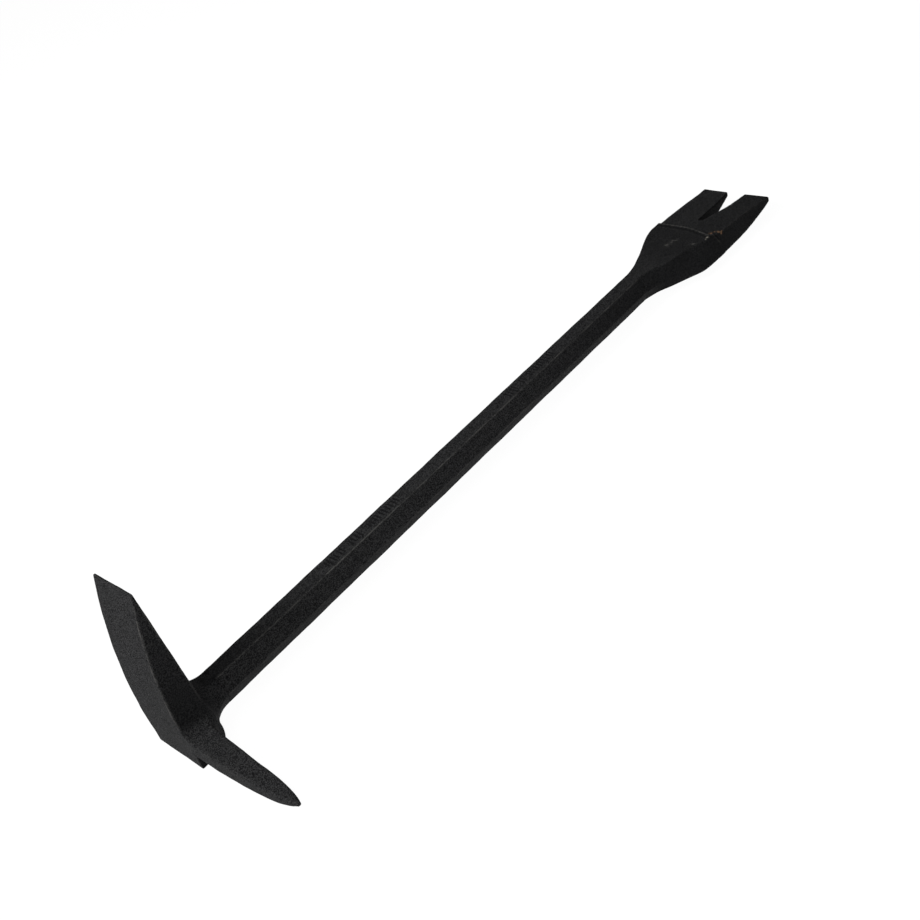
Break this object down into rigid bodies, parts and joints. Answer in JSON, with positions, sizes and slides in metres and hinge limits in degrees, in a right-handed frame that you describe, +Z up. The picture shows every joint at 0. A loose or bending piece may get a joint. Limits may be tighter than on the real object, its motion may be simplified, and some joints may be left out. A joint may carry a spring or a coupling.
{
  "type": "pry bar",
  "caption": "Steel entry and pry bar: hexagonal shaft with a forked claw at one end, and a curved adze with a tapered pike at a right angle at the other.",
  "frame": {"origin": "centre of the bottom of the whole tool's box, which is level with the underside of the head", "axes": "+X along the shaft from the striking face to the fork's tips, +Z up along the adze, the pike points along -Y"},
  "size_m": [0.762, 0.167, 0.152],
  "materials": {
    "coated_steel": "black fine-textured powder coat on forged steel, slightly rubbed along its edges",
    "pin_steel": "hardened steel pin, its flush end under the same black coat"
  },
  "bodies": {
    "root": {"hex_shaft": "coated_steel", "adze_pike_head": "coated_steel", "fork_claw": "coated_steel", "head_cross_pin": "pin_steel", "fork_cross_pin": "pin_steel", "head_weld_ring": "coated_steel", "fork_weld_ring": "coated_steel"}
  },
  "joints": []
}
